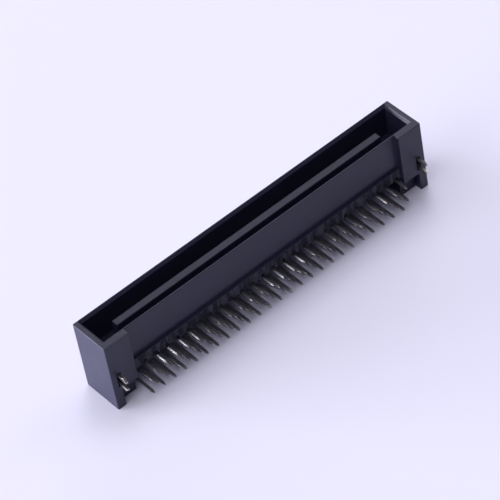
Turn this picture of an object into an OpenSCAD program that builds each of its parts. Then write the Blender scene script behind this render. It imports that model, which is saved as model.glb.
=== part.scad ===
// Right-angle board-to-board header: an open shroud round a contact tongue, four staggered rows of solder
// leads along one side, and a forked board lock in each end block.
// Millimetres. X runs along the length, +Z points out of the mouth, -Y points at the circuit board.
// The origin is the middle of the overall outline, on the plane of the rear faces.

/* [Contacts] */
// Columns of contacts along the tongue, one contact on each face in every column
columns = 50; // [10:2:50]
// Distance between neighbouring columns
pitch = 1.27; // [1.2:0.01:2]
// Thickness of the contact strip
strip_t = 0.3; // [0.2:0.01:0.36]
// Width of the contact blade on the tongue
blade_w = 0.6; // [0.45:0.01:0.7]
// Height that the blade stands proud of the tongue face
blade_proud = 0.08; // [0.04:0.01:0.14]
// Distance from the top of the tongue down to the end of the blades
blade_drop = 1.75; // [0.6:0.05:2.4]
// Width of the shank that is held in the base
shank_w = 0.8; // [0.7:0.01:0.92]
// Length of the shank
shank_len = 1.7; // [1:0.1:2]

/* [Solder leads] */
// Width of a lead
lead_w = 0.5; // [0.3:0.01:0.6]
// Inner radius of the bend in a lead
bend_r = 0.6; // [0.3:0.05:0.7]
// Height of the lowest row above the rear faces
row_z = 0.75; // [0.6:0.05:1.2]
// Distance between the lead rows
row_step = 1.55; // [1.4:0.01:1.8]
// Reach of the leads in front of the board face
lead_out = 2.15; // [1.6:0.05:4]
// Length of the taper at a tip
tip_len = 0.6; // [0.3:0.1:1]
// Width left at the end of a tip
tip_w = 0.2; // [0.1:0.01:0.26]

/* [Shroud] */
// Thickness of the long walls
long_wall = 0.72; // [0.6:0.01:1.2]
// Thickness of the end walls
end_wall = 1.42; // [1:0.01:2.4]
// Width of the cavity across the tongue
cavity_w = 6.38; // [5.8:0.01:7]
// Depth of the cavity below the rim
cavity_depth = 7; // [5:0.1:9]
// Free length of the cavity beyond each end of the tongue
end_bay = 4.71; // [4.6:0.01:6]
// Lead-in chamfer round the mouth
mouth_chamfer = 0.5; // [0.2:0.01:0.55]

/* [Tongue] */
// Thickness of the tongue
tongue_t = 1.6; // [1.2:0.01:1.8]
// Length of the tongue beyond the outer columns
tongue_margin = 0.63; // [0.47:0.01:1.2]
// Distance from the rim down to the top of the tongue
tongue_drop = 1.8; // [0.6:0.01:2.4]
// Chamfer round the top of the tongue
tongue_chamfer = 0.12; // [0.1:0.01:0.3]

/* [Base] */
// Thickness of the base between the cavity and the leads
base_t = 3.25; // [3:0.05:5]
// Gap between the underside and the uppermost lead row
row_gap = 0.3; // [0.15:0.05:0.6]
// Height of the ledge along the foot of the front wall
ledge_h = 2.3; // [1.4:0.05:3]
// Reach of the ledge in front of that wall
ledge_out = 0.65; // [0.4:0.01:1.1]
// Width of the relief notches over the uppermost leads
notch_w = 0.74; // [0.7:0.01:1]
// Height of those notches
notch_h = 0.75; // [0.6:0.05:1.25]
// Thickness of the rear wall that closes the lead bay
rear_wall = 0.75; // [0.7:0.05:1.5]

/* [End blocks] */
// Width of an end block
block_w = 5.5; // [4.6:0.1:5.9]
// Step from the front wall to the board face of the blocks
front_step = 1.27; // [1.15:0.01:2]
// Radius of the upright corners at the back
back_r = 0.2; // [0.1:0.05:1]
// Radius of the upright corners at the board face
front_r = 0.25; // [0.1:0.05:1]
// Width of the relief at the foot of each block
relief_w = 3.7; // [1:0.1:3.9]
// Height of that relief
relief_h = 4.3; // [2:0.1:4.8]
// Depth of that relief
relief_d = 1.6; // [0.6:0.1:3]
// Chamfer on the lower back edge
foot_chamfer = 0.35; // [0.2:0.05:0.5]

/* [Board locks] */
// Thickness of the lock plate
lock_t = 0.5; // [0.3:0.01:0.8]
// Distance from the end of the body to the middle of the plate
lock_inset = 1.65; // [1.4:0.05:2]
// Height of the middle of the lock above the rear faces
lock_z = 6.8; // [5:0.1:10]
// Width of one prong
prong_w = 0.65; // [0.5:0.01:1]
// Gap between the prongs
prong_gap = 1.6; // [1.2:0.01:2.4]
// Reach of the prongs in front of the board face
prong_out = 2.35; // [2.2:0.05:4]
// Height of the catch on a prong
catch_h = 0.25; // [0.1:0.01:0.4]
// Length of the plate held in the block
lock_hold = 3.6; // [2.5:0.1:5]
// Depth of the open pocket round the foot of the prongs
pocket_d = 0.6; // [0.3:0.1:1.5]
// Free space between the prongs and that pocket
pocket_gap = 0.25; // [0.15:0.01:0.5]

/* [Fits] */
// Clearance of a contact or a lock in its seat
fit = 0.03; // [0.01:0.01:0.05]

/* [Hidden] */
$fn = 48;
cut = 0.1;                                   // how far a cutting body runs past a face
column_span = (columns - 1) * pitch;
tongue_len = column_span + 2 * tongue_margin;
cavity_len = tongue_len + 2 * end_bay;
body_len = cavity_len + 2 * end_wall;
body_d = 2 * long_wall + cavity_w + front_step;
overall_d = body_d + max(lead_out, prong_out);
bay_len = body_len - 2 * block_w;            // open length between the end blocks

y_back = overall_d / 2;
y_board = y_back - body_d;                   // plane of the circuit board
y_wall = y_board + front_step;               // outer face of the front wall
y_ledge = y_wall - ledge_out;
y_tongue = y_back - long_wall - cavity_w / 2;
y_tip = y_board - lead_out;

rows = 4;
z_under = row_z + (rows - 1) * row_step + strip_t / 2 + row_gap;
z_floor = z_under + base_t;
z_rim = z_floor + cavity_depth;
z_tongue = z_rim - tongue_drop;
z_blade = z_tongue - blade_drop;
z_shank = z_under + notch_h;
z_neck = z_shank + shank_len;

bend_mid_r = bend_r + strip_t / 2;
blade_mid = tongue_t / 2 + blade_proud - strip_t / 2;   // middle of a blade, from the middle of the tongue
lock_h = prong_gap + 2 * prong_w;
blade_chamfer = strip_t / 2;
grip_d = 0.2;                                // depth and length of the grips in the edges of a lock plate
grip_len = 0.7;
grip_at = lock_hold / 2;
catch_foot = prong_out * 0.5;
catch_top = prong_out * 0.68;

function column_name(i) = str("contacts_", i < 9 ? "0" : "", i + 1);
function column_x(i) = i * pitch - column_span / 2;
function is_odd(i) = i % 2 == 1;

// Row of a lead, counted from the lowest. Odd and even columns take turns, so the leads are staggered.
function lead_row(i, front) = (front ? 2 : 0) + (is_odd(i) ? 1 : 0);
function lead_z(i, front) = row_z + lead_row(i, front) * row_step;
function strip_y(front) = y_tongue + (front ? -blade_mid : blade_mid);

// A block given by its two corners
module block(from, to) {
    translate(from)
        cube(to - from);
}

// Extrudes an outline drawn in Y and Z along X, centred on x
module along_x(x, length) {
    translate([x - length / 2, 0, 0])
        rotate([90, 0, 90])
            linear_extrude(length)
                children();
}

// Extrudes an outline drawn in X and Z along Y, from y0 to y1
module along_y(y0, y1) {
    translate([0, y1, 0])
        rotate([90, 0, 0])
            linear_extrude(y1 - y0)
                children();
}

// Copies what is drawn on the right to the left as well
module both_ends() {
    children();
    mirror([1, 0, 0])
        children();
}

// Housing

module rounded_outline() {
    half = body_len / 2;
    union() {
        translate([-half, y_board + front_r])
            square([body_len, body_d - front_r - back_r]);
        translate([-half + front_r, y_board])
            square([body_len - 2 * front_r, body_d - back_r]);
        translate([-half + back_r, y_board + front_r])
            square([body_len - 2 * back_r, body_d - front_r]);
        for (sx = [-1, 1]) {
            translate([sx * (half - front_r), y_board + front_r])
                circle(front_r);
            translate([sx * (half - back_r), y_back - back_r])
                circle(back_r);
        }
    }
}

// Space in front of the shroud wall and of the ledge, between the end blocks
module front_recess() {
    block([-bay_len / 2, y_board - cut, z_under + ledge_h], [bay_len / 2, y_wall, z_rim + cut]);
    block([-bay_len / 2, y_board - cut, z_under - cut], [bay_len / 2, y_ledge, z_rim + cut]);
}

// Bay under the base where the leads run, open at the board side and below
module lead_bay() {
    block([-bay_len / 2, y_board - cut, -cut], [bay_len / 2, y_back - rear_wall, z_under]);
}

// The cavity with its lead-in, a block and a mitred funnel
module cavity() {
    y0 = y_back - long_wall - cavity_w;
    y1 = y_back - long_wall;
    c = mouth_chamfer;
    block([-cavity_len / 2, y0, z_floor], [cavity_len / 2, y1, z_rim + cut]);
    intersection() {
        along_y(y0 - c - cut, y1 + c + cut)
            polygon([
                [-cavity_len / 2, z_rim - c],
                [cavity_len / 2, z_rim - c],
                [cavity_len / 2 + c + cut, z_rim + cut],
                [-cavity_len / 2 - c - cut, z_rim + cut]
            ]);
        along_x(0, cavity_len + 2 * (c + cut))
            polygon([
                [y0, z_rim - c],
                [y1, z_rim - c],
                [y1 + c + cut, z_rim + cut],
                [y0 - c - cut, z_rim + cut]
            ]);
    }
}

module tongue() {
    c = tongue_chamfer;
    h = tongue_t / 2;
    half = tongue_len / 2;
    root = z_floor - cut;
    intersection() {
        along_x(0, tongue_len)
            polygon([
                [y_tongue - h, root],
                [y_tongue + h, root],
                [y_tongue + h, z_tongue - c],
                [y_tongue + h - c, z_tongue],
                [y_tongue - h + c, z_tongue],
                [y_tongue - h, z_tongue - c]
            ]);
        along_y(y_tongue - h, y_tongue + h)
            polygon([
                [-half, root],
                [half, root],
                [half, z_tongue - c],
                [half - c, z_tongue],
                [-half + c, z_tongue],
                [-half, z_tongue - c]
            ]);
    }
}

// Groove in the tongue and passage through the base for one contact
module contact_seat(x, front) {
    y = strip_y(front);
    h = strip_t / 2 + fit;
    w = blade_w / 2 + fit;
    s = shank_w / 2 + fit;
    block([x - w, y - h, z_under - cut], [x + w, y + h, z_blade + fit]);
    block([x - s, y - h, z_under - cut], [x + s, y + h, z_neck + fit]);
}

// Notch in the underside for a lead of the uppermost row
module lead_notch(x) {
    y_end = strip_y(true) + strip_t / 2 + fit;
    block([x - notch_w / 2, y_ledge - cut, z_under - cut], [x + notch_w / 2, y_end, z_under + notch_h]);
}

module block_relief() {
    block(
        [bay_len / 2 - cut, y_board - cut, -cut],
        [bay_len / 2 + relief_w, y_board + relief_d, relief_h]
    );
}

module foot_cut() {
    c = foot_chamfer;
    along_x(0, body_len + 2 * cut)
        polygon([
            [y_back - c, -cut],
            [y_back + cut, -cut],
            [y_back + cut, c],
            [y_back, c],
            [y_back - c, 0]
        ]);
}

// Seat of a board lock: the slot for its plate and the open pocket round its prongs
module lock_seat() {
    x = body_len / 2 - lock_inset;
    w = lock_t / 2;
    h = lock_h / 2;
    g = pocket_gap;
    block(
        [x - w - fit, y_board - cut, lock_z - h - fit],
        [x + w + fit, y_board + lock_hold + fit, lock_z + h + fit]
    );
    block(
        [x - w - g, y_board - cut, lock_z - h - g],
        [x + w + g, y_board + pocket_d, lock_z + h + g]
    );
}

module housing() {
    color([0.07, 0.07, 0.08])
        difference() {
            union() {
                difference() {
                    linear_extrude(z_rim)
                        rounded_outline();
                    cavity();
                    front_recess();
                    lead_bay();
                    foot_cut();
                }
                tongue();
            }
            for (i = [0 : columns - 1]) {
                contact_seat(column_x(i), true);
                contact_seat(column_x(i), false);
                if (is_odd(i))
                    lead_notch(column_x(i));
            }
            both_ends() {
                block_relief();
                lock_seat();
            }
        }
}

// Contacts

// Side outline of the strip from the shank round its bend to the tip
module lead_side(y, z) {
    turn_y = y - bend_mid_r;
    turn_z = z + bend_mid_r;
    h = strip_t / 2;
    translate([y - h, turn_z])
        square([strip_t, z_shank + cut - turn_z]);
    intersection() {
        translate([turn_y, turn_z])
            difference() {
                circle(bend_r + strip_t);
                circle(bend_r);
            }
        translate([turn_y, z - h])
            square([bend_r + strip_t, bend_mid_r + h]);
    }
    polygon([
        [turn_y, z - h],
        [turn_y, z + h],
        [y_tip + tip_len, z + h],
        [y_tip, z + tip_w / 2],
        [y_tip, z - tip_w / 2],
        [y_tip + tip_len, z - h]
    ]);
}

// Outline of a lead seen along Z, with its tapered tip
module lead_plan(x, y) {
    w = lead_w / 2;
    translate([x, 0])
        polygon([
            [-w, y + strip_t],
            [-w, y_tip + tip_len],
            [-tip_w / 2, y_tip],
            [tip_w / 2, y_tip],
            [w, y_tip + tip_len],
            [w, y + strip_t]
        ]);
}

// Blade on the tongue with a chamfered end
module blade(x, y, front) {
    h = strip_t / 2;
    out = front ? -h : h;
    c = blade_chamfer;
    along_x(x, blade_w)
        polygon([
            [y - out, z_shank],
            [y + out, z_shank],
            [y + out, z_blade - 2 * c],
            [y + out - (front ? -c : c), z_blade],
            [y - out, z_blade]
        ]);
}

module contact(i, front) {
    x = column_x(i);
    y = strip_y(front);
    z = lead_z(i, front);
    h = strip_t / 2;
    union() {
        blade(x, y, front);
        block([x - shank_w / 2, y - h, z_shank], [x + shank_w / 2, y + h, z_neck]);
        intersection() {
            along_x(x, lead_w)
                lead_side(y, z);
            translate([0, 0, z - strip_t])
                linear_extrude(z_shank + strip_t)
                    lead_plan(x, y);
        }
    }
}

module contact_column(i) {
    color([0.84, 0.68, 0.33]) {
        contact(i, true);
        contact(i, false);
    }
}

// Board locks

// Upper edge of the lock from the back of its plate, with a grip cut in it, to the catch and round the tip.
// Reach runs from the board face, height from the lock's middle.
function lock_edge(inner, outer) = [
    [-lock_hold, outer],
    [-grip_at - grip_len, outer],
    [-grip_at, outer - grip_d],
    [-grip_at, outer],
    [catch_foot, outer],
    [catch_top, outer + catch_h],
    [prong_out, inner + prong_w / 3],
    [prong_out, inner],
    [-inner, inner]
];

function mirrored(edge) = [for (i = [len(edge) - 1 : -1 : 0]) [edge[i].x, -edge[i].y]];

module lock_outline() {
    slot_r = prong_gap / 2;
    edge = lock_edge(slot_r, slot_r + prong_w);
    difference() {
        polygon(concat(edge, mirrored(edge)));
        translate([-slot_r, 0])
            circle(slot_r);
    }
}

module board_lock(x) {
    color([0.80, 0.80, 0.80])
        translate([x - lock_t / 2, y_board, lock_z])
            rotate([90, 0, 90])
                mirror([1, 0])
                    linear_extrude(lock_t)
                        lock_outline();
}

module board_lock_left() {
    board_lock(-body_len / 2 + lock_inset);
}

module board_lock_right() {
    board_lock(body_len / 2 - lock_inset);
}

housing();
for (i = [0 : columns - 1])
    contact_column(i);
board_lock_left();
board_lock_right();
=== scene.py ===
import math

import bmesh
import bpy
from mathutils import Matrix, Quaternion, Vector


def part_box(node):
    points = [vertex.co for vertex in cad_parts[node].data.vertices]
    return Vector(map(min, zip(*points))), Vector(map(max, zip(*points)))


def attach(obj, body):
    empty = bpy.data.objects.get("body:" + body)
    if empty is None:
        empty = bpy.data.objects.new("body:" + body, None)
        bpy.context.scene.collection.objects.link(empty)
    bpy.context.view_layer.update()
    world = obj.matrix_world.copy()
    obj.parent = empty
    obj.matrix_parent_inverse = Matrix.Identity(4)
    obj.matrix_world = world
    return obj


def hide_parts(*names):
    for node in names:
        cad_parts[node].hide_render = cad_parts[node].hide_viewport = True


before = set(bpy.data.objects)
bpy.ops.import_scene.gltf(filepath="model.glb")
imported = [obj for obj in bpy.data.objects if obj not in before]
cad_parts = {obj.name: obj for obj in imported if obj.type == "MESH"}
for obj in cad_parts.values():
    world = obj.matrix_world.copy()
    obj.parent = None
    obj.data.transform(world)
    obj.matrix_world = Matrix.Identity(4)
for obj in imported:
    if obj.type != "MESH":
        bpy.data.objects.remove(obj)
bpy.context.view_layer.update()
mm = 0.001

boxes = {name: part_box(name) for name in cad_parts}
contactNames = sorted(name for name in boxes if name.startswith("contacts_"))
lockNames = sorted(name for name in boxes if name.startswith("board_lock_"))
columnStep = boxes[contactNames[1]][0].x - boxes[contactNames[0]][0].x    # distance between two columns
tipPlane = boxes[contactNames[0]][0].y                                    # where the leads end
rimHeight = boxes["housing"][1].z
print("frame loaded:", len(boxes), "nodes,", len(contactNames), "contact columns")


# Node helpers

def newMaterial(name):
    material = bpy.data.materials.new(name)
    material.use_nodes = True
    tree = material.node_tree
    return material, tree, tree.nodes["Principled BSDF"]


def addNode(tree, kind, values=None, **settings):
    made = tree.nodes.new("ShaderNode" + kind)
    for key, value in settings.items():
        setattr(made, key, value)
    for socket, value in (values or {}).items():
        plug(tree, made.inputs[socket], value)
    return made


def plug(tree, socket, value):
    if isinstance(value, bpy.types.NodeSocket):
        tree.links.new(value, socket)
    else:
        socket.default_value = value


def calc(tree, operation, *values, clamp=False):
    made = addNode(tree, "Math", operation=operation, use_clamp=clamp)
    for socket, value in zip(made.inputs, values):
        plug(tree, socket, value)
    return made.outputs[0]


def addShares(tree, first, firstShare, second, secondShare, clamp=False):
    rest = calc(tree, "MULTIPLY", second, secondShare)
    return calc(tree, "MULTIPLY_ADD", first, firstShare, rest, clamp=clamp)


def average(tree, first, second):
    return addShares(tree, first, 0.5, second, 0.5)


def blendColors(tree, factor, first, second):
    made = addNode(tree, "Mix", data_type="RGBA")
    for index, value in ((0, factor), (6, first), (7, second)):    # 6, 7 and output 2 are its colour sockets
        plug(tree, made.inputs[index], value)
    return made.outputs[2]


def spread(tree, value, low, high):
    return addNode(tree, "MapRange", {"Value": value, "To Min": low, "To Max": high}).outputs[0]


def placeInMm(tree, stretch=(1, 1, 1)):
    place = addNode(tree, "TexCoord").outputs["Object"]
    scale = tuple(s / mm for s in stretch)
    return addNode(tree, "Mapping", {"Vector": place, "Scale": scale}).outputs[0]


def noiseAt(tree, place, scale, detail=3.0, roughness=0.55):
    values = {"Vector": place, "Scale": scale, "Detail": detail, "Roughness": roughness}
    return addNode(tree, "TexNoise", values).outputs[0]


def bumpFrom(tree, height, depth, strength, below=None):
    made = addNode(tree, "Bump", {"Height": height, "Distance": depth, "Strength": strength})
    if below is not None:
        tree.links.new(below, made.inputs["Normal"])
    return made.outputs[0]


def rgb(red, green, blue):
    return (red, green, blue, 1.0)


# Black plastic of the housing

plasticLook = {
    "dark": rgb(0.0105, 0.0105, 0.0310),
    "light": rgb(0.0175, 0.0175, 0.0480),
    "flowStretch": (0.10, 0.45, 0.30),     # the melt ran along the length, so its marks do
    "flowShare": 0.7,                      # of the change of tone
    "flowDepth": 0.010 * mm,
    "flowStrength": 0.6,
    "patchPerMm": 0.35,
    "patchShare": 0.4,
    "grainPerMm": 14.0,                    # spark-eroded mould texture
    "grainDepth": 0.0035 * mm,
    "grainStrength": 0.8,
    "fibre": rgb(0.035, 0.035, 0.050),
    "fibreStretch": (1.0, 6.0, 6.0),       # short fibres that lie along the flow
    "fibrePerMm": 2.6,
    "fibreRadius": 0.16,
    "fibreShow": 0.35,
    "roughLow": 0.40,
    "roughHigh": 0.52,
    "ior": 1.46,
}

edgeLook = {                               # rounded edges are rubbed smoother and lighter
    **plasticLook,
    "dark": rgb(0.012, 0.012, 0.030),
    "light": rgb(0.022, 0.022, 0.046),
    "roughLow": 0.36,
    "roughHigh": 0.48,
}

combShadeLook = {                               # the toothed strip above the leads: a low IOR, a rough finish and a very dark ground between lighter upright streaks darken it as painted shade
    **plasticLook,
    "dark": rgb(0.004, 0.004, 0.013),
    "light": rgb(0.042, 0.042, 0.058),
    "streakStretch": (1.3, 0.25, 0.30),       # stretch of the lighter upright streaks
    "rubContrast": 5.0,
    "streakMiddle": 0.42,
    "grainDepth": 0.0050 * mm,
    "roughLow": 0.52,
    "roughHigh": 0.66,
    "ior": 1.26,
}


# Lighter upright streaks over the very dark, painted-shade ground of the toothed strip
def uprightStreaks(tree, look):
    rub = noiseAt(tree, placeInMm(tree, look["streakStretch"]), 1.0, detail=2.0)
    shift = -look["rubContrast"] * look["streakMiddle"]
    return calc(tree, "MULTIPLY_ADD", rub, look["rubContrast"], shift, clamp=True)


def mouldedPlastic(name, look):
    material, tree, shader = newMaterial(name)
    place = placeInMm(tree)
    flow = noiseAt(tree, placeInMm(tree, look["flowStretch"]), 1.0, detail=4.0)
    patches = noiseAt(tree, place, look["patchPerMm"], detail=2.0)
    grain = noiseAt(tree, place, look["grainPerMm"], detail=2.0, roughness=0.7)
    if "streakStretch" in look:
        tone = uprightStreaks(tree, look)
    else:
        tone = addShares(tree, flow, look["flowShare"], patches, look["patchShare"], clamp=True)
    body = blendColors(tree, tone, look["dark"], look["light"])
    fibrePlace = placeInMm(tree, look["fibreStretch"])
    fibre = addNode(tree, "TexVoronoi", {"Vector": fibrePlace, "Scale": look["fibrePerMm"]})
    speck = calc(tree, "LESS_THAN", fibre.outputs["Distance"], look["fibreRadius"])
    flecked = blendColors(tree, calc(tree, "MULTIPLY", speck, look["fibreShow"]), body, look["fibre"])
    plug(tree, shader.inputs["Base Color"], flecked)
    dull = average(tree, grain, patches)
    plug(tree, shader.inputs["Roughness"], spread(tree, dull, look["roughLow"], look["roughHigh"]))
    wavy = bumpFrom(tree, flow, look["flowDepth"], look["flowStrength"])
    grainy = bumpFrom(tree, grain, look["grainDepth"], look["grainStrength"], wavy)
    plug(tree, shader.inputs["Normal"], grainy)
    shader.inputs["IOR"].default_value = look["ior"]
    return material


# Plated metal of the contacts

metalLook = {
    "tin": rgb(0.95, 0.945, 0.97),
    # darkest tin: for stains, column-to-column wear and the painted shade towards the tips
    "tinDull": rgb(0.41, 0.405, 0.445),
    "gold": rgb(0.86, 0.60, 0.24),
    "goldDeep": rgb(0.66, 0.43, 0.15),
    "goldFrom": 8.9 * mm,                  # height above which the plating is gold
    "copper": rgb(0.40, 0.26, 0.18),
    "cutEnd": 0.03 * mm,                   # bare metal at the cut tips
    "side": rgb(0.51, 0.50, 0.56),         # painted shade on the upright sides of the leads, between neighbouring leads
    "shadedSideDark": rgb(0.145, 0.142, 0.165),
    "shadedSideFrom": 0.75,                      # smallest X of their normals
    "stainPerMm": 1.1,
    "stainShare": 0.6,                     # of the wear
    "tipShadeShare": 0.55,                      # share of the painted shade that darkens the tin towards the tips, starting at the plane below
    "tipShadeFrom": -2.4 * mm,
    "ownShare": 0.3,                       # no two columns are worn alike
    "lineStretch": (9.0, 0.6, 9.0),        # fine lines that the forming tool left along a lead
    "linePerMm": 1.6,
    "lineDepth": 0.002 * mm,
    "lineStrength": 0.7,
    "roughLow": 0.30,
    "roughHigh": 0.46,
    "flatFrom": 0.96,                      # smallest Z of a flat's normal, rounded edges have less
    "crown": 1.5,                          # the flats are a little domed across the lead
    "leanFrom": 0.0,                       # in front of this plane they lean, each its own way
    "leanLeast": -0.05,
    "leanMost": 0.34,
    "lowestRow": 0.75 * mm,
    "rowStep": 1.55 * mm,
    "groupRow": 3,                         # the uppermost, counted from 0, has groups that were bent more
    "groups": (                            # middle, reach and amount of each
        (-23.9 * mm, 5.6 * mm, 0.86),
        (2.4 * mm, 6.6 * mm, 0.63),
        (26.0 * mm, 2.0 * mm, 0.60),
    ),
    "groupLeast": 0.8,                     # the amount is taken times this
    "groupOwn": 0.4,                       # and up to this much more, lead by lead
    "alone": 0.45,                         # most that a single lead in any row was bent
    "aloneRarity": 6.0,
    "burnish": 0.16,                       # bent leads were rubbed smoother
}


def groupLean(tree, look, axes):
    lean = 0.0
    for middle, reach, amount in look["groups"]:
        off = calc(tree, "DIVIDE", calc(tree, "SUBTRACT", axes.outputs["X"], middle), reach)
        square = calc(tree, "MULTIPLY", off, off)
        hill = calc(tree, "MULTIPLY_ADD", calc(tree, "MULTIPLY", square, square), -amount, amount)
        lean = calc(tree, "MAXIMUM", lean, hill)
    return lean


def leadLean(tree, look, axes, column, isFlat):
    overLowest = calc(tree, "SUBTRACT", axes.outputs["Z"], look["lowestRow"])
    row = calc(tree, "ROUND", calc(tree, "DIVIDE", overLowest, look["rowStep"]))
    cell = addNode(tree, "CombineXYZ", {"X": column, "Y": row}).outputs[0]
    own = addNode(tree, "TexWhiteNoise", {"Vector": cell}, noise_dimensions="2D").outputs["Value"]
    inRow = calc(tree, "GREATER_THAN", row, look["groupRow"] - 0.5)
    ownFactor = calc(tree, "MULTIPLY_ADD", own, look["groupOwn"], look["groupLeast"])
    grouped = calc(tree, "MULTIPLY", calc(tree, "MULTIPLY", groupLean(tree, look, axes), inRow), ownFactor)
    alone = calc(tree, "MULTIPLY", calc(tree, "POWER", own, look["aloneRarity"]), look["alone"])
    lean = calc(tree, "MAXIMUM", grouped, alone, clamp=True)
    inFront = calc(tree, "LESS_THAN", axes.outputs["Y"], look["leanFrom"])
    return calc(tree, "MULTIPLY", calc(tree, "MULTIPLY", lean, inFront), isFlat)


def leadNormal(tree, look, axes, lean, isFlat):
    forward = calc(tree, "MULTIPLY", spread(tree, lean, look["leanLeast"], look["leanMost"]), -1.0)
    columnPlace = calc(tree, "DIVIDE", axes.outputs["X"], columnStep)
    across = calc(tree, "SUBTRACT", calc(tree, "FRACT", columnPlace), 0.5)
    dome = calc(tree, "MULTIPLY", calc(tree, "MULTIPLY", across, look["crown"]), isFlat)
    tilt = addNode(tree, "CombineXYZ", {"X": dome, "Y": forward}).outputs[0]
    normal = addNode(tree, "NewGeometry").outputs["Normal"]
    leaned = addNode(tree, "VectorMath", {0: normal, 1: tilt}, operation="ADD").outputs[0]
    return addNode(tree, "VectorMath", {0: leaned}, operation="NORMALIZE").outputs[0]


# Stains and column-to-column wear, with painted shade that darkens the leads towards their tips
def contactWearAndTipShade(tree, look, axes, column, stain):
    own = addNode(tree, "TexWhiteNoise", {"W": column}, noise_dimensions="1D").outputs["Value"]
    toTip = addNode(tree, "MapRange", {
        "Value": axes.outputs["Y"],
        "From Min": look["tipShadeFrom"],
        "From Max": tipPlane,
    }).outputs[0]
    tipShadeAndOwnWear = addShares(tree, toTip, look["tipShadeShare"], own, look["ownShare"])
    return calc(tree, "MULTIPLY_ADD", stain, look["stainShare"], tipShadeAndOwnWear, clamp=True)


def contactColor(tree, look, axes, facing, wearAndTipShade, stain):
    tin = blendColors(tree, wearAndTipShade, look["tin"], look["tinDull"])
    # the upright sides of the leads take a darker colour: painted shade between the leads
    side = blendColors(tree, wearAndTipShade, look["side"], look["shadedSideDark"])
    gold = blendColors(tree, stain, look["gold"], look["goldDeep"])
    isShadedSide = calc(tree, "GREATER_THAN", calc(tree, "ABSOLUTE", facing.outputs["X"]), look["shadedSideFrom"])
    isGold = calc(tree, "GREATER_THAN", axes.outputs["Z"], look["goldFrom"])
    isCut = calc(tree, "LESS_THAN", axes.outputs["Y"], tipPlane + look["cutEnd"])
    plated = blendColors(tree, isGold, blendColors(tree, isShadedSide, tin, side), gold)
    return blendColors(tree, isCut, plated, look["copper"])


def platedMetal(name, look):
    material, tree, shader = newMaterial(name)
    axes = addNode(tree, "SeparateXYZ", {"Vector": addNode(tree, "TexCoord").outputs["Object"]})
    facing = addNode(tree, "SeparateXYZ", {"Vector": addNode(tree, "NewGeometry").outputs["Normal"]})
    isFlat = calc(tree, "GREATER_THAN", calc(tree, "ABSOLUTE", facing.outputs["Z"]), look["flatFrom"])
    column = calc(tree, "FLOOR", calc(tree, "DIVIDE", axes.outputs["X"], columnStep))
    lines = noiseAt(tree, placeInMm(tree, look["lineStretch"]), look["linePerMm"], roughness=0.6)
    stain = noiseAt(tree, placeInMm(tree), look["stainPerMm"])
    wearAndTipShade = contactWearAndTipShade(tree, look, axes, column, stain)
    plug(tree, shader.inputs["Base Color"], contactColor(tree, look, axes, facing, wearAndTipShade, stain))
    lean = leadLean(tree, look, axes, column, isFlat)
    dull = average(tree, lines, wearAndTipShade)
    rough = spread(tree, dull, look["roughLow"], look["roughHigh"])
    plug(tree, shader.inputs["Roughness"], calc(tree, "MULTIPLY_ADD", lean, -look["burnish"], rough))
    normal = leadNormal(tree, look, axes, lean, isFlat)
    lined = bumpFrom(tree, lines, look["lineDepth"], look["lineStrength"], normal)
    plug(tree, shader.inputs["Normal"], lined)
    shader.inputs["Metallic"].default_value = 1.0
    return material


# Tin-plated sheet of the board locks

lockLook = {
    "tin": rgb(0.66, 0.65, 0.63),
    "tinDull": rgb(0.50, 0.49, 0.47),
    "rolled": (0.8, 0.8, 9.0),             # stretch of the rolling lines on the faces
    "sheared": rgb(0.74, 0.70, 0.66),
    "shearedDull": rgb(0.56, 0.50, 0.46),
    "torn": (12.0, 1.0, 1.0),              # stretch of the lines on the sheared edges
    "linePerMm": 1.5,
    "lineShare": 0.6,
    "lineDepth": 0.003 * mm,
    "lineStrength": 0.8,
    "stainPerMm": 1.7,
    "stainShare": 0.4,
    "roughLow": 0.22,
    "roughHigh": 0.40,
}


def stampedMetal(name, look, clean, stained, stretch):
    material, tree, shader = newMaterial(name)
    lines = noiseAt(tree, placeInMm(tree, stretch), look["linePerMm"], roughness=0.6)
    stain = noiseAt(tree, placeInMm(tree), look["stainPerMm"])
    plug(tree, shader.inputs["Base Color"], blendColors(tree, stain, clean, stained))
    dull = addShares(tree, lines, look["lineShare"], stain, look["stainShare"])
    plug(tree, shader.inputs["Roughness"], spread(tree, dull, look["roughLow"], look["roughHigh"]))
    plug(tree, shader.inputs["Normal"], bumpFrom(tree, lines, look["lineDepth"], look["lineStrength"]))
    shader.inputs["Metallic"].default_value = 1.0
    return material


housingPlastic = mouldedPlastic("housingPlastic", plasticLook)
housingEdge = mouldedPlastic("housingEdge", edgeLook)
# the toothed strip above the leads is darkened as painted shade
housingCombShade = mouldedPlastic("housingCombShade", combShadeLook)
contactMetal = platedMetal("contactMetal", metalLook)
lockFace = stampedMetal("lockFace", lockLook, lockLook["tin"], lockLook["tinDull"], lockLook["rolled"])
lockCut = stampedMetal("lockCut", lockLook, lockLook["sheared"], lockLook["shearedDull"], lockLook["torn"])
print("materials made")


# Pieces. Each stands for its solid, with the same form and its edges rounded as the real one's are.

cleanUp = {
    "sameWithin": 0.0005 * mm,
    "flatWithin": math.radians(0.5),
}


def cleanCopy(node):
    shape = bmesh.new()
    shape.from_mesh(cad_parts[node].data)
    bmesh.ops.remove_doubles(shape, verts=shape.verts, dist=cleanUp["sameWithin"])
    bmesh.ops.dissolve_limit(shape, angle_limit=cleanUp["flatWithin"], verts=shape.verts, edges=shape.edges)
    return shape


def sharpness(edge):
    return edge.calc_face_angle(0.0) if len(edge.link_faces) == 2 else 0.0


def weigh(shape, weightOf):
    layer = shape.edges.layers.float.new("bevel_weight_edge")
    for edge in shape.edges:
        edge[layer] = weightOf(edge)


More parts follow.
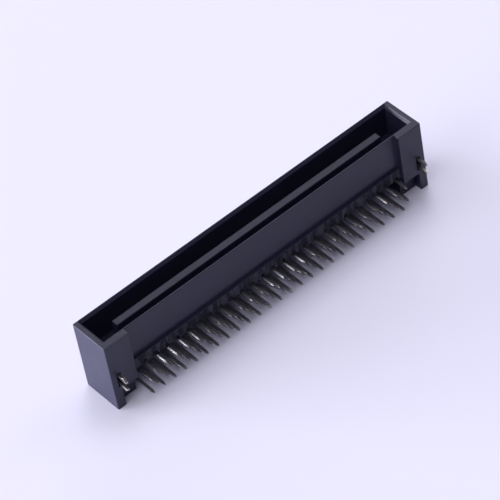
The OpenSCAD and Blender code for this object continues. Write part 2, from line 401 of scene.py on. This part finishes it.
def addPiece(name, shape, node, materials, rounding, edgeMaterial=-1):
    mesh = bpy.data.meshes.new(name)
    shape.to_mesh(mesh)
    shape.free()
    piece = bpy.data.objects.new(name, mesh)
    bpy.context.scene.collection.objects.link(piece)
    for material in materials:
        mesh.materials.append(material)
    bevel = piece.modifiers.new("edges", "BEVEL")
    bevel.width = rounding["width"]
    bevel.segments = rounding["segments"]
    bevel.limit_method = "WEIGHT"
    bevel.use_clamp_overlap = rounding["clamp"]
    bevel.material = edgeMaterial          # -1 takes the neighbouring face's
    finished = bpy.data.meshes.new_from_object(piece.evaluated_get(bpy.context.evaluated_depsgraph_get()))
    piece.modifiers.clear()
    piece.data = finished
    finished.name = name
    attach(piece, "root")
    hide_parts(node)


housingEdges = {
    "width": 0.14 * mm,                    # at weight 1
    "segments": 2,
    "clamp": False,
    "minAngle": math.radians(20),
    "rim": 1.0,                            # outer edge of the rim
    "rimBand": 0.01 * mm,
    "inner": 0.35,
    "innerFrom": 3 * mm,                   # shorter edges stay sharp
    "blockInner": 0.08,                    # upright edges where the end blocks meet the shroud
    "upright": 0.01,                       # largest Z of an upright face's normal
    "level": 0.99,                         # smallest Z of a level face's normal
    "combTop": 7.95 * mm,                  # the strip's upper side lies above this and stays plain
    "combBack": -2.2 * mm,                 # plane just in front of the shroud wall
}


def housingWeight(edge):
    if sharpness(edge) < housingEdges["minAngle"]:
        return 0.0
    leastZ, mostZ = sorted(abs(face.normal.z) for face in edge.link_faces)
    atRim = min(v.co.z for v in edge.verts) > rimHeight - housingEdges["rimBand"]
    if atRim and leastZ < housingEdges["upright"] and mostZ > housingEdges["level"]:
        return housingEdges["rim"]
    if edge.calc_length() < housingEdges["innerFrom"]:
        return 0.0
    inFront = all(v.co.y < housingEdges["combBack"] for v in edge.verts)
    atBlock = boxes[lockNames[0]][1].x < edge.verts[0].co.x < boxes[lockNames[1]][0].x
    isBlockInner = inFront and atBlock and mostZ < housingEdges["upright"]
    return housingEdges["blockInner"] if isBlockInner else housingEdges["inner"]


def isComb(face):
    middle = face.calc_center_median()
    combEnd = boxes[contactNames[-1]][1].x + columnStep
    inFront = middle.y < housingEdges["combBack"] and middle.z < housingEdges["combTop"]
    return inFront and abs(middle.x) < combEnd


def makeHousing():
    shape = cleanCopy("housing")
    plastics = [housingPlastic, housingEdge, housingCombShade]
    for face in shape.faces:
        face.material_index = plastics.index(housingCombShade if isComb(face) else housingPlastic)
    weigh(shape, housingWeight)
    rounded = plastics.index(housingEdge)
    addPiece("housingShell", shape, "housing", plastics, housingEdges, rounded)


makeHousing()
print("housing rounded")

contactEdges = {
    "width": 0.11 * mm,                    # at weight 1
    "segments": 3,
    "clamp": True,
    "minAngle": math.radians(25),
    "lead": 1.0,                           # long edges of a lead, rounded by the tin
    "leadTop": 5.8 * mm,                   # just above the uppermost leads
    "straight": 0.9,                       # least share of an edge's direction that runs along the lead
    "taper": 0.6,
    "tipBand": 0.3 * mm,                   # a taper's edge starts this near the tip
    "taperBand": 0.9 * mm,                 # and ends this near
    "other": 0.3,
}


def contactWeight(edge):
    if sharpness(edge) < contactEdges["minAngle"]:
        return 0.0
    ends = [v.co for v in edge.verts]
    along = abs((ends[0] - ends[1]).normalized().y)
    if along < contactEdges["straight"] or max(end.z for end in ends) > contactEdges["leadTop"]:
        return contactEdges["other"]
    nearest, farthest = sorted(end.y - tipPlane for end in ends)
    isTaper = nearest < contactEdges["tipBand"] and farthest < contactEdges["taperBand"]
    return contactEdges["taper"] if isTaper else contactEdges["lead"]


def makeContacts(node):
    shape = cleanCopy(node)
    weigh(shape, contactWeight)
    addPiece("contactPair" + node[-2:], shape, node, [contactMetal], contactEdges)


for contactName in contactNames:
    makeContacts(contactName)
print("contacts rounded")

lockEdges = {
    "width": 0.05 * mm,
    "segments": 2,
    "clamp": True,
    "minAngle": math.radians(25),
    "faceNormal": 0.9,                     # the sheet's faces look along the length, its cut edges don't
}


def lockWeight(edge):
    return 1.0 if sharpness(edge) > lockEdges["minAngle"] else 0.0


def makeLock(node):
    shape = cleanCopy(node)
    metals = [lockFace, lockCut]
    for face in shape.faces:
        isFace = abs(face.normal.x) > lockEdges["faceNormal"]
        face.material_index = metals.index(lockFace if isFace else lockCut)
    weigh(shape, lockWeight)
    side = "Left" if "left" in node else "Right"
    addPiece("boardLock" + side, shape, node, metals, lockEdges)


for lockName in lockNames:
    makeLock(lockName)
print("board locks rounded")


# Floor, light and camera

floorLook = {
    "size": 3.0,
    "color": rgb(0.835, 0.818, 0.985),
    "roughness": 0.9,
    "specular": 0.1,
}


def makeFloor():
    bpy.ops.mesh.primitive_plane_add(size=floorLook["size"])
    floor = bpy.context.object
    floor.name = "floor"
    material, tree, shader = newMaterial("floorPaper")
    shader.inputs["Base Color"].default_value = floorLook["color"]
    shader.inputs["Roughness"].default_value = floorLook["roughness"]
    shader.inputs["Specular IOR Level"].default_value = floorLook["specular"]
    floor.data.materials.append(material)


worldLook = {
    "color": rgb(0.74, 0.74, 1.0),
    "strength": 0.11,
}


def makeWorld():
    world = bpy.data.worlds.new("studio")
    bpy.context.scene.world = world
    world.use_nodes = True
    back = world.node_tree.nodes["Background"]
    back.inputs["Color"].default_value = worldLook["color"]
    back.inputs["Strength"].default_value = worldLook["strength"]


softboxColor = (0.98, 0.98, 1.0)
softboxAway = 3.0              # from the part
softboxes = {                  # turn and rise in degrees, seen from the part, size in metres, power in watts
    "backLeft": {"turn": 141, "rise": 3, "size": (2.0, 0.28), "power": 270.0},
    "left": {"turn": 184, "rise": 6, "size": (1.5, 1.5), "power": 17.0},
    "leftHigh": {"turn": 180, "rise": 35, "size": (1.5, 1.5), "power": 17.0},
    "frontHigh": {"turn": 225, "rise": 65, "size": (1.5, 1.5), "power": 17.0},
    "overhead": {"turn": 52, "rise": 66, "size": (1.5, 1.5), "power": 31.0},
    "back": {"turn": 125, "rise": 50, "size": (1.8, 1.5), "power": 16.0},
    "backRight": {"turn": 45, "rise": 15, "size": (1.5, 1.5), "power": 21.5},
    "right": {"turn": 0, "rise": 40, "size": (1.5, 1.5), "power": 10.0},
}


def makeSoftbox(name, box):
    light = bpy.data.lights.new(name, "AREA")
    light.shape = "RECTANGLE"
    light.size, light.size_y = box["size"]
    light.energy = box["power"]
    light.color = softboxColor
    lamp = bpy.data.objects.new(name, light)
    turn = math.radians(box["turn"])
    rise = math.radians(box["rise"])
    toward = Vector((math.cos(turn) * math.cos(rise), math.sin(turn) * math.cos(rise), math.sin(rise)))
    lamp.location = softboxAway * toward
    lamp.rotation_mode = "QUATERNION"
    lamp.rotation_quaternion = (-toward).to_track_quat("-Z", "Y")
    bpy.context.scene.collection.objects.link(lamp)


view = {
    "place": (-230.5, -357.2, 443.7),      # millimetres, as the photograph was taken
    "aim": (-0.27, 2.42, 8.0),
    "roll": -11.13,
    "lens": 240.6,
    "sensor": 36.0,
    "near": 0.01,                          # metres
    "far": 10.0,
}


def makeCamera():
    camera = bpy.data.objects.new("camera", bpy.data.cameras.new("camera"))
    camera.data.lens = view["lens"]
    camera.data.sensor_width = view["sensor"]
    camera.data.clip_start = view["near"]
    camera.data.clip_end = view["far"]
    camera.location = Vector(view["place"]) * mm
    sight = Vector(view["aim"]) * mm - camera.location
    roll = Quaternion((0, 0, 1), math.radians(view["roll"]))
    camera.rotation_mode = "QUATERNION"
    camera.rotation_quaternion = sight.to_track_quat("-Z", "Y") @ roll
    bpy.context.scene.collection.objects.link(camera)
    bpy.context.scene.camera = camera


makeFloor()
makeWorld()
for boxName, boxValues in softboxes.items():
    makeSoftbox(boxName, boxValues)
makeCamera()
bpy.context.scene.view_settings.view_transform = "Standard"
print("floor, light and camera set")
